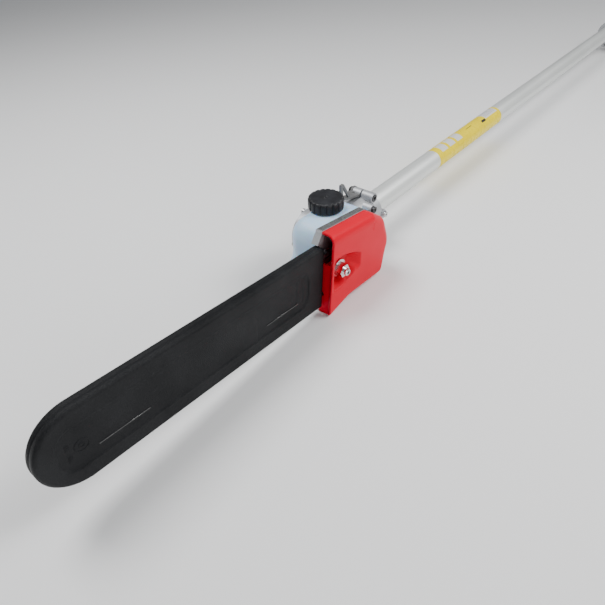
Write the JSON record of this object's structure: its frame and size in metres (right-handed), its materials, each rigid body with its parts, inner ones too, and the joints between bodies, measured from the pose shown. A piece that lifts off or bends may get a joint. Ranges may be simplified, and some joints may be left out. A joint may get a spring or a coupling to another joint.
{
  "type": "telescoping pole saw",
  "caption": "Telescoping pole saw: covered chain-saw head with oil tank and bevel drive on a two-stage tube with drive shaft, tube lock and end spigot.",
  "frame": {"origin": "centre of the end spigot's rear face, on the pole's axis", "axes": "+X out of the spigot towards the drive unit, so the saw head is at -X; -Y is the sprocket-cover side; +Z is the filler-cap side"},
  "size_m": [2.067, 0.0929, 0.1042],
  "materials": {
    "tube_aluminium": "satin anodised",
    "label_yellow": "printed film",
    "black_plastic": "moulded",
    "cast_aluminium": "die cast, blasted",
    "bronze": "sintered bronze",
    "steel": "turned",
    "black_steel": "black oxide",
    "lever_plastic": "moulded",
    "rubber": "moulded",
    "chrome": "bright plated",
    "red_plastic": "glossy moulded",
    "tank_plastic": "natural translucent",
    "bracket_steel": "grey coated",
    "chain_steel": "oiled",
    "cutter_chrome": "hard chrome",
    "bar_steel": "ground",
    "cap_plastic": "ribbed moulding",
    "scabbard_plastic": "grained moulding"
  },
  "bodies": {
    "rear_pole": {"outer_tube": "tube_aluminium", "mouth_bush": "black_plastic", "end_spigot": "cast_aluminium", "sleeve_bushes": "bronze", "lock_collar": "cast_aluminium", "lock_bolt": "steel", "lock_nut": "steel"},
    "lock_lever": {"lock_lever": "lever_plastic"},
    "front_boom": {"inner_tube": "tube_aluminium", "pole_label": "label_yellow", "tube_guide": "black_plastic", "shaft_bushes": "black_plastic", "gear_case": "cast_aluminium", "case_lid": "cast_aluminium", "lid_screws": "steel", "clamp_bolt": "steel", "clamp_nut": "black_steel", "locating_screw": "steel", "case_screw": "steel", "oil_pump_barrel": "bronze", "shaft_seal": "rubber", "output_bearing_outer_races": "steel", "pinion_bearing_outer_races": "steel", "bar_stud": "steel", "bar_nut": "chrome", "sprocket_cover": "red_plastic", "oil_tank": "tank_plastic", "oil_pickup": "rubber", "hanging_bracket": "bracket_steel", "chain_drive_links": "chain_steel", "chain_tie_straps": "chain_steel", "chain_cutters": "cutter_chrome", "chain_rivets": "chain_steel"},
    "front_drive": {"drive_shaft": "steel", "bevel_pinion": "steel", "pinion_bearing_inner_races": "steel", "pinion_bearing_balls": "steel"},
    "rear_drive": {"drive_sleeve": "steel", "drive_socket": "steel"},
    "output": {"output_shaft": "steel", "bevel_gear": "steel", "output_bearing_inner_races": "steel", "output_bearing_balls": "steel", "oil_pump_worm": "steel", "drive_sprocket": "steel", "sprocket_washer": "steel", "sprocket_clip": "black_steel"},
    "pump": {"oil_pump_plunger": "steel"},
    "bar": {"guide_bar": "bar_steel", "nose_hub": "steel", "tension_block": "steel"},
    "nose": {"nose_sprocket": "steel"},
    "tensioner": {"tension_screw": "steel"},
    "cap_lift": {"cap_gasket": "rubber"},
    "cap": {"tank_cap": "cap_plastic"},
    "scabbard": {"scabbard": "scabbard_plastic"}
  },
  "joints": [
    {"name": "pole_slide", "type": "slide", "parent": "rear_pole", "child": "front_boom", "axis": [1, 0, 0], "range_m": [-0.11, 0.26]},
    {"name": "lock_lever_turn", "type": "hinge", "parent": "rear_pole", "child": "lock_lever", "pos_m": [-0.617, -0.014, -0.028], "axis": [1, 0, 0], "range_deg": [0, 115]},
    {"name": "drive_spin", "type": "hinge", "parent": "front_boom", "child": "front_drive", "pos_m": [-1.6, 0, 0], "axis": [1, 0, 0], "continuous": true},
    {"name": "rear_drive_spin", "type": "hinge", "parent": "rear_pole", "child": "rear_drive", "pos_m": [-0.2, 0, 0], "axis": [1, 0, 0], "continuous": true},
    {"name": "sprocket_spin", "type": "hinge", "parent": "front_boom", "child": "output", "pos_m": [-1.7, 0, 0], "axis": [0, 1, 0], "continuous": true},
    {"name": "pump_spin", "type": "hinge", "parent": "front_boom", "child": "pump", "pos_m": [-1.7136, 0.007, 0], "axis": [0, 0, 1], "continuous": true},
    {"name": "bar_adjust", "type": "slide", "parent": "front_boom", "child": "bar", "axis": [0.9965, 0, -0.0837], "range_m": [0, 0.004], "deforming": ["chain_drive_links", "chain_tie_straps", "chain_cutters", "chain_rivets"]},
    {"name": "nose_spin", "type": "hinge", "parent": "bar", "child": "nose", "pos_m": [-2.03215, -0.0409, 0.02789], "axis": [0, 1, 0], "continuous": true},
    {"name": "tension_screw_turn", "type": "hinge", "parent": "front_boom", "child": "tensioner", "pos_m": [-1.74663, -0.0362, -0.00562], "axis": [0.9965, 0, -0.0837], "range_deg": [0, 1800]},
    {"name": "cap_rise", "type": "slide", "parent": "front_boom", "child": "cap_lift", "axis": [0, 0, 1], "range_m": [0, 0.0125]},
    {"name": "cap_turn", "type": "hinge", "parent": "cap_lift", "child": "cap", "pos_m": [-1.7097, -0.0075, 0.05], "axis": [0, 0, 1], "range_deg": [0, 1080]},
    {"name": "scabbard_pull", "type": "slide", "parent": "front_boom", "child": "scabbard", "axis": [-0.9965, 0, 0.0837], "range_m": [0, 0.315]}
  ],
  "couplings": [
    {"joint": "rear_drive_spin", "follows": "drive_spin", "ratio": 1},
    {"joint": "sprocket_spin", "follows": "drive_spin", "ratio": 0.75},
    {"joint": "nose_spin", "follows": "drive_spin", "ratio": 0.5625},
    {"joint": "pump_spin", "follows": "drive_spin", "ratio": 0.075},
    {"joint": "tension_screw_turn", "follows": "bar_adjust", "rad_per_m": 7854},
    {"joint": "cap_turn", "follows": "cap_rise", "rad_per_m": 1508}
  ]
}
